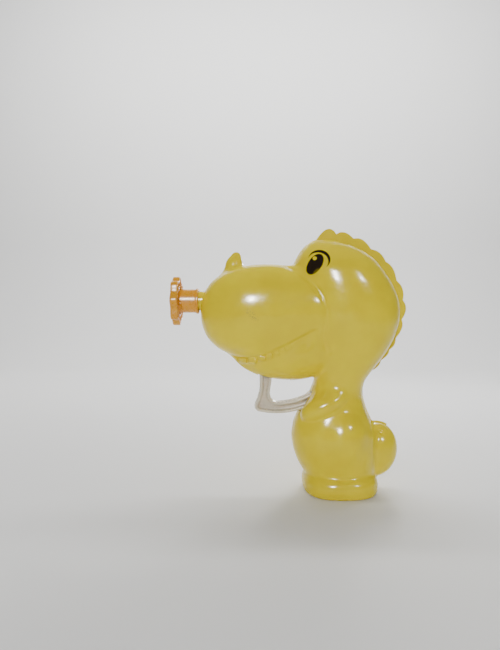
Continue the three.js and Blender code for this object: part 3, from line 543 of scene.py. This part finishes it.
def make_screw(name, at, head, direction, end, finish):
    """A cross-head screw along Y: head is the Y of its underside and end that of its tip."""
    profile = [(0, head - 1.6 * direction), (1.3, head - 1.6 * direction), (1.8, head - 1.3 * direction)]
    profile += [(SCREW_HEAD, head - 0.75 * direction), (SCREW_HEAD, head - 0.1 * direction),
                (SCREW_HEAD - 0.1, head), (SCREW_SHANK, head)]
    length = abs(end - head)
    threads = int((length - 1.5) / THREAD_PITCH)
    for i in range(threads):
        along = head + direction * (0.8 + i * THREAD_PITCH)
        profile += [(THREAD_ROOT, along), (SCREW_SHANK, along + 0.3 * direction),
                    (SCREW_SHANK, along + 0.42 * direction)]
    profile += [(THREAD_ROOT, end - 0.8 * direction), (0, end)]
    screw = lathe(name + "_piece", profile, (at[0], 0, at[1]), "Y", 32)
    deep, top = head - 0.8 * direction, head - 2.5 * direction
    low, high = min(deep, top), max(deep, top)
    cross = [box((at[0] - 1.1, low, at[1] - 0.22), (at[0] + 1.1, high, at[1] + 0.22)),
             box((at[0] - 0.22, low, at[1] - 1.1), (at[0] + 0.22, high, at[1] + 1.1))]
    combine(screw, cross, "DIFFERENCE")
    finish_piece(screw, "casing", finish, [name])


def make_screws(finish):
    for i, at in enumerate(BODY_SCREWS):
        make_screw(f"body_screw_{i + 1}", at, 6.3, -1, -8.0, finish)
    for i, at in enumerate(GEAR_SCREWS):
        make_screw(f"gear_screw_{i + 1}", at, -11.9, 1, -0.6, finish)
    for i, at in enumerate(MOUNT_SCREWS):
        make_screw(f"mount_screw_{i + 1}", at, 4.2, 1, 13.5, finish)


def make_spring(finish):
    """Coil between the seat in the snout and the trigger's arm."""
    start, end, coil, wire, turns = -55.1, PIVOT[0] - 3.3, 2.2, 0.35, 5
    steps, sides = 60 * turns, 14
    points, faces = [], []
    for i in range(steps + 1):
        t = i / steps
        angle = t * turns * 2 * math.pi
        x = start + wire + (end - start - 2 * wire) * t
        for j in range(sides):
            around = 2 * math.pi * j / sides
            r = coil + wire * math.cos(around)
            points.append((x + wire * math.sin(around), r * math.cos(angle), SPRING_Z + r * math.sin(angle)))
    for i in range(steps):
        for j in range(sides):
            k = (j + 1) % sides
            faces.append((i * sides + j, i * sides + k, (i + 1) * sides + k, (i + 1) * sides + j))
    faces += [tuple(range(sides))[::-1], tuple(range(steps * sides, (steps + 1) * sides))]
    spring = new_object("spring_piece", points, faces)
    finish_piece(spring, "casing", finish, ["trigger_spring"])
    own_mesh(spring)


# ---------- materials ----------

class Paint:
    """A procedural material. Places are object coordinates in millimetres."""

    def __init__(self, name):
        self.material = bpy.data.materials.new(name)
        self.material.use_nodes = True
        self.tree = self.material.node_tree
        self.shader = self.tree.nodes["Principled BSDF"]
        coordinates = self.tree.nodes.new("ShaderNodeTexCoord")
        self.place = self.tree.nodes.new("ShaderNodeVectorMath")
        self.place.operation = "SCALE"
        self.place.inputs["Scale"].default_value = 1 / MM
        self.tree.links.new(coordinates.outputs["Object"], self.place.inputs[0])
        split = self.tree.nodes.new("ShaderNodeSeparateXYZ")
        self.tree.links.new(self.place.outputs[0], split.inputs[0])
        self.x, self.y, self.z = split.outputs

    def feed(self, socket, value):
        if isinstance(value, bpy.types.NodeSocket):
            self.tree.links.new(value, socket)
        else:
            socket.default_value = value

    def math(self, operation, a, b=0.0, c=0.0):
        node = self.tree.nodes.new("ShaderNodeMath")
        node.operation = operation
        for socket, value in zip(node.inputs, (a, b, c)):
            self.feed(socket, value)
        return node.outputs[0]

    def noise(self, scale, detail=3.0, roughness=0.5):
        """Cloudy noise from 0 to 1, with a feature size of 1 / scale millimetres."""
        node = self.tree.nodes.new("ShaderNodeTexNoise")
        node.inputs["Scale"].default_value = scale
        node.inputs["Detail"].default_value = detail
        node.inputs["Roughness"].default_value = roughness
        self.tree.links.new(self.place.outputs[0], node.inputs["Vector"])
        return node.outputs["Fac"]

    def span(self, value, low, high, to_low=0.0, to_high=1.0):
        """Carries a range over to another one, clamped and eased."""
        node = self.tree.nodes.new("ShaderNodeMapRange")
        node.interpolation_type = "SMOOTHSTEP"
        for socket, number in zip(node.inputs, (value, low, high, to_low, to_high)):
            self.feed(socket, number)
        return node.outputs[0]

    def mix(self, factor, a, b):
        node = self.tree.nodes.new("ShaderNodeMix")
        node.data_type = "RGBA"
        self.feed(node.inputs["Factor"], factor)
        for socket, colour in ((node.inputs["A"], a), (node.inputs["B"], b)):
            self.feed(socket, (*colour, 1.0) if isinstance(colour, tuple) else colour)
        return node.outputs["Result"]

    def ellipse(self, centre, radii, tilt=0.0, edge=0.06):
        """1 inside an ellipse in the XZ plane and 0 outside it."""
        c, s = math.cos(math.radians(tilt)), math.sin(math.radians(tilt))
        dx = self.math("SUBTRACT", self.x, centre[0])
        dz = self.math("SUBTRACT", self.z, centre[1])
        u = self.math("MULTIPLY_ADD", dx, c / radii[0], self.math("MULTIPLY", dz, -s / radii[0]))
        v = self.math("MULTIPLY_ADD", dx, s / radii[1], self.math("MULTIPLY", dz, c / radii[1]))
        size = self.math("SQRT", self.math("MULTIPLY_ADD", u, u, self.math("MULTIPLY", v, v)))
        return self.span(size, 1 - edge, 1 + edge, 1.0, 0.0)

    def bump(self, height, strength, distance):
        node = self.tree.nodes.new("ShaderNodeBump")
        node.inputs["Strength"].default_value = strength
        node.inputs["Distance"].default_value = distance * MM
        self.tree.links.new(height, node.inputs["Height"])
        self.tree.links.new(node.outputs[0], self.shader.inputs["Normal"])

    def set(self, **values):
        for name, value in values.items():
            self.feed(self.shader.inputs[name.replace("_", " ")], value)


def moulded(name, light, dark, roughness, scale=0.12, translucency=0.0, reach=1.5):
    """Moulded plastic: two close tones in clouds, uneven gloss and a faint ripple."""
    paint = Paint(name)
    clouds = paint.noise(scale, 3)
    paint.set(
        Base_Color=paint.mix(paint.span(clouds, 0.3, 0.7), dark, light),
        Roughness=paint.span(paint.noise(scale * 6, 4), 0.3, 0.7, roughness * 0.85, roughness * 1.25),
        Subsurface_Weight=translucency, Subsurface_Scale=reach * MM, Subsurface_Radius=(1.0, 0.8, 0.5),
    )
    paint.bump(paint.noise(scale * 5, 2), 0.025, 0.05)
    return paint.material


def body_plastic():
    paint = Paint("body_plastic")
    yellow = paint.mix(paint.span(paint.noise(0.06), 0.3, 0.7), (0.78, 0.61, 0.0), (0.84, 0.67, 0.0))
    # the printed eye, on both sides
    pupil = paint.ellipse((-14.95, 116.35), (3.2, 5.75), 31)
    glint = paint.ellipse((-15.0, 119.3), (1.0, 1.0), edge=0.14)
    shine = paint.ellipse((-14.6, 112.6), (0.7, 1.8), 45, edge=0.5)
    brow_outer = paint.ellipse((-12.85, 118.7), (5.1, 5.1), edge=0.05)
    brow_inner = paint.ellipse((-13.65, 117.55), (4.8, 4.8), edge=0.05)
    brow = paint.math("MULTIPLY", brow_outer, paint.math("SUBTRACT", 1.0, brow_inner))
    on_side = paint.span(paint.math("ABSOLUTE", paint.y), 5.0, 6.0)
    dark = paint.math("MULTIPLY", paint.math("MAXIMUM", pupil, brow), on_side)
    dark = paint.math("MULTIPLY", dark, paint.math("SUBTRACT", 1.0, glint))
    dark = paint.math("MULTIPLY", dark, paint.math("MULTIPLY_ADD", shine, -0.15, 1.0))
    colour = paint.mix(dark, yellow, (0.016, 0.009, 0.004))
    # worn scratches, on the near side only
    near_side = paint.span(paint.y, -6.0, -5.0, 1.0, 0.0)
    scuffed = paint.math("MULTIPLY", paint.ellipse((-46.0, 91.0), (3.4, 1.5), 42, edge=0.5), near_side)
    scratches = paint.math("MULTIPLY", scuffed, paint.span(paint.noise(1.8, 6, 0.7), 0.54, 0.58))
    colour = paint.mix(paint.math("MULTIPLY", scratches, 0.75), colour, (0.10, 0.07, 0.02))
    gloss = paint.span(paint.noise(0.5, 4), 0.3, 0.7, 0.13, 0.2)
    paint.set(
        Base_Color=colour, Roughness=paint.math("MULTIPLY_ADD", scratches, 0.3, gloss),
        Subsurface_Weight=paint.math("MULTIPLY_ADD", dark, -0.15, 0.15),
        Subsurface_Scale=1.6 * MM, Subsurface_Radius=(1.0, 0.7, 0.1), Specular_IOR_Level=0.3,
    )
    paint.bump(paint.noise(0.35, 2), 0.06, 0.06)
    return paint.material


def steel():
    paint = Paint("steel")
    paint.set(
        Base_Color=paint.mix(paint.noise(1.5, 4), (0.52, 0.52, 0.54), (0.68, 0.68, 0.70)),
        Metallic=1.0, Roughness=paint.span(paint.noise(4, 4), 0.3, 0.7, 0.25, 0.4),
    )
    return paint.material


FINISHES = {
    "body_plastic": body_plastic(),
    "trigger_plastic": moulded("trigger_plastic", (0.74, 0.67, 0.52), (0.66, 0.59, 0.45), 0.25,
                               scale=0.15, translucency=0.4, reach=3.0),
    "ring_plastic": moulded("ring_plastic", (0.78, 0.36, 0.0), (0.74, 0.31, 0.0), 0.28,
                            scale=0.2, translucency=0.05),
    "white_plastic": moulded("white_plastic", (0.80, 0.80, 0.76), (0.72, 0.72, 0.69), 0.45),
    "grey_plastic": moulded("grey_plastic", (0.36, 0.37, 0.39), (0.30, 0.31, 0.33), 0.45),
    "steel": steel(),
}

make_shells(FINISHES["body_plastic"])
make_trigger(FINISHES["trigger_plastic"])
make_nozzle(FINISHES["body_plastic"])
make_ring(FINISHES["ring_plastic"])
make_screws(FINISHES["steel"])
make_spring(FINISHES["steel"])

# ---------- CAD nodes that are shown as they are ----------

slots = {part["node"]: part["material_slot"] for part in frame["record"]["subparts"]}
for name, node in frame["nodes"].items():
    node.data.materials.clear()
    node.data.materials.append(FINISHES[slots[name]])
    if not node.hide_render:
        node.data.shade_smooth()
        node.data.set_sharp_from_angle(angle=math.radians(30))

# ---------- floor, lights and camera ----------

def paper(colour, roughness):
    paint = Paint("paper")
    shade = paint.mix(paint.noise(0.01, 2), colour, tuple(c * 0.97 for c in colour))
    paint.set(Base_Color=shade, Roughness=roughness)
    return paint.material


def make_floor():
    """A sheet of paper that lies flat under the object and curves up far behind it."""
    flat, bend_radius, half_width, top = 600, 300, 1500, 1400
    profile = [(-900, 0), (flat, 0)]
    profile += [(flat + bend_radius * math.sin(a), bend_radius - bend_radius * math.cos(a))
                for a in np.linspace(0.1, math.pi / 2, 16)]
    profile.append((flat + bend_radius, top))
    points = [(x, y, z) for y, z in profile for x in (-half_width, half_width)]
    faces = [(2 * i, 2 * i + 1, 2 * i + 3, 2 * i + 2) for i in range(len(profile) - 1)]
    mesh = bpy.data.meshes.new("floor")
    mesh.from_pydata(np.array(points) * MM, [], faces)
    mesh.shade_smooth()
    mesh.materials.append(paper((0.80, 0.80, 0.79), 0.8))
    floor = bpy.data.objects.new("floor", mesh)
    bpy.context.scene.collection.objects.link(floor)


make_floor()

AIM = Vector((-0.01, 0, 0.07))


def softbox(name, azimuth, elevation, distance, size, power, sheen=True, fill=True):
    """An area light towards AIM, from angles in degrees, at a distance and of a size in metres.

    Without sheen it leaves no reflection, and without fill it lights nothing else.
    """
    azimuth, elevation = math.radians(azimuth), math.radians(elevation)
    out = Vector((math.cos(elevation) * math.sin(azimuth), -math.cos(elevation) * math.cos(azimuth),
                  math.sin(elevation)))
    data = bpy.data.lights.new(name, "AREA")
    data.shape, data.size, data.size_y, data.energy = "RECTANGLE", size[0], size[1], power
    light = bpy.data.objects.new(name, data)
    light.location = AIM + out * distance
    light.rotation_mode = "QUATERNION"
    light.rotation_quaternion = out.to_track_quat("Z", "Y")
    light.visible_glossy, light.visible_diffuse, light.visible_camera = sheen, fill, False
    bpy.context.scene.collection.objects.link(light)
    return light


softbox("key", -10, 20, 1.2, (0.33, 0.21), 6.4)
softbox("key_sheen", -11, 19.5, 1.19, (0.13, 0.18), 22, fill=False)
softbox("side_sheen", 33, 26, 1.2, (0.12, 0.10), 7.5, fill=False)
softbox("rear", 160, 35, 0.55, (0.15, 0.12), 0.7, sheen=False)
softbox("rear_sheen", 160, 25, 0.54, (0.07, 0.10), 3.0, fill=False)
softbox("top", 0, 90, 0.55, (0.6, 0.6), 0.7, sheen=False)
# the backdrop lamp is turned to the paper behind the object instead
backdrop = softbox("backdrop", 0, 0, 0.5, (1.2, 0.2), 15, sheen=False)
backdrop.location = (0, 0.35, 0.9)
backdrop.rotation_quaternion = Vector((0, 0.55, -0.6)).to_track_quat("-Z", "Y")

world = bpy.data.worlds.new("world")
world.use_nodes = True
background = world.node_tree.nodes["Background"]
background.inputs["Color"].default_value = (1, 1, 1, 1)
background.inputs["Strength"].default_value = 0.16
bpy.context.scene.world = world

camera_data = bpy.data.cameras.new("camera")
camera_data.lens = 26.3
camera_data.sensor_fit = "VERTICAL"
camera_data.sensor_height = 36
camera_data.clip_start = 0.01
camera = bpy.data.objects.new("camera", camera_data)
camera.location = (-0.047, -0.250, 0.0863)
camera.rotation_euler = (math.pi / 2, 0, 0)
bpy.context.scene.collection.objects.link(camera)
bpy.context.scene.camera = camera
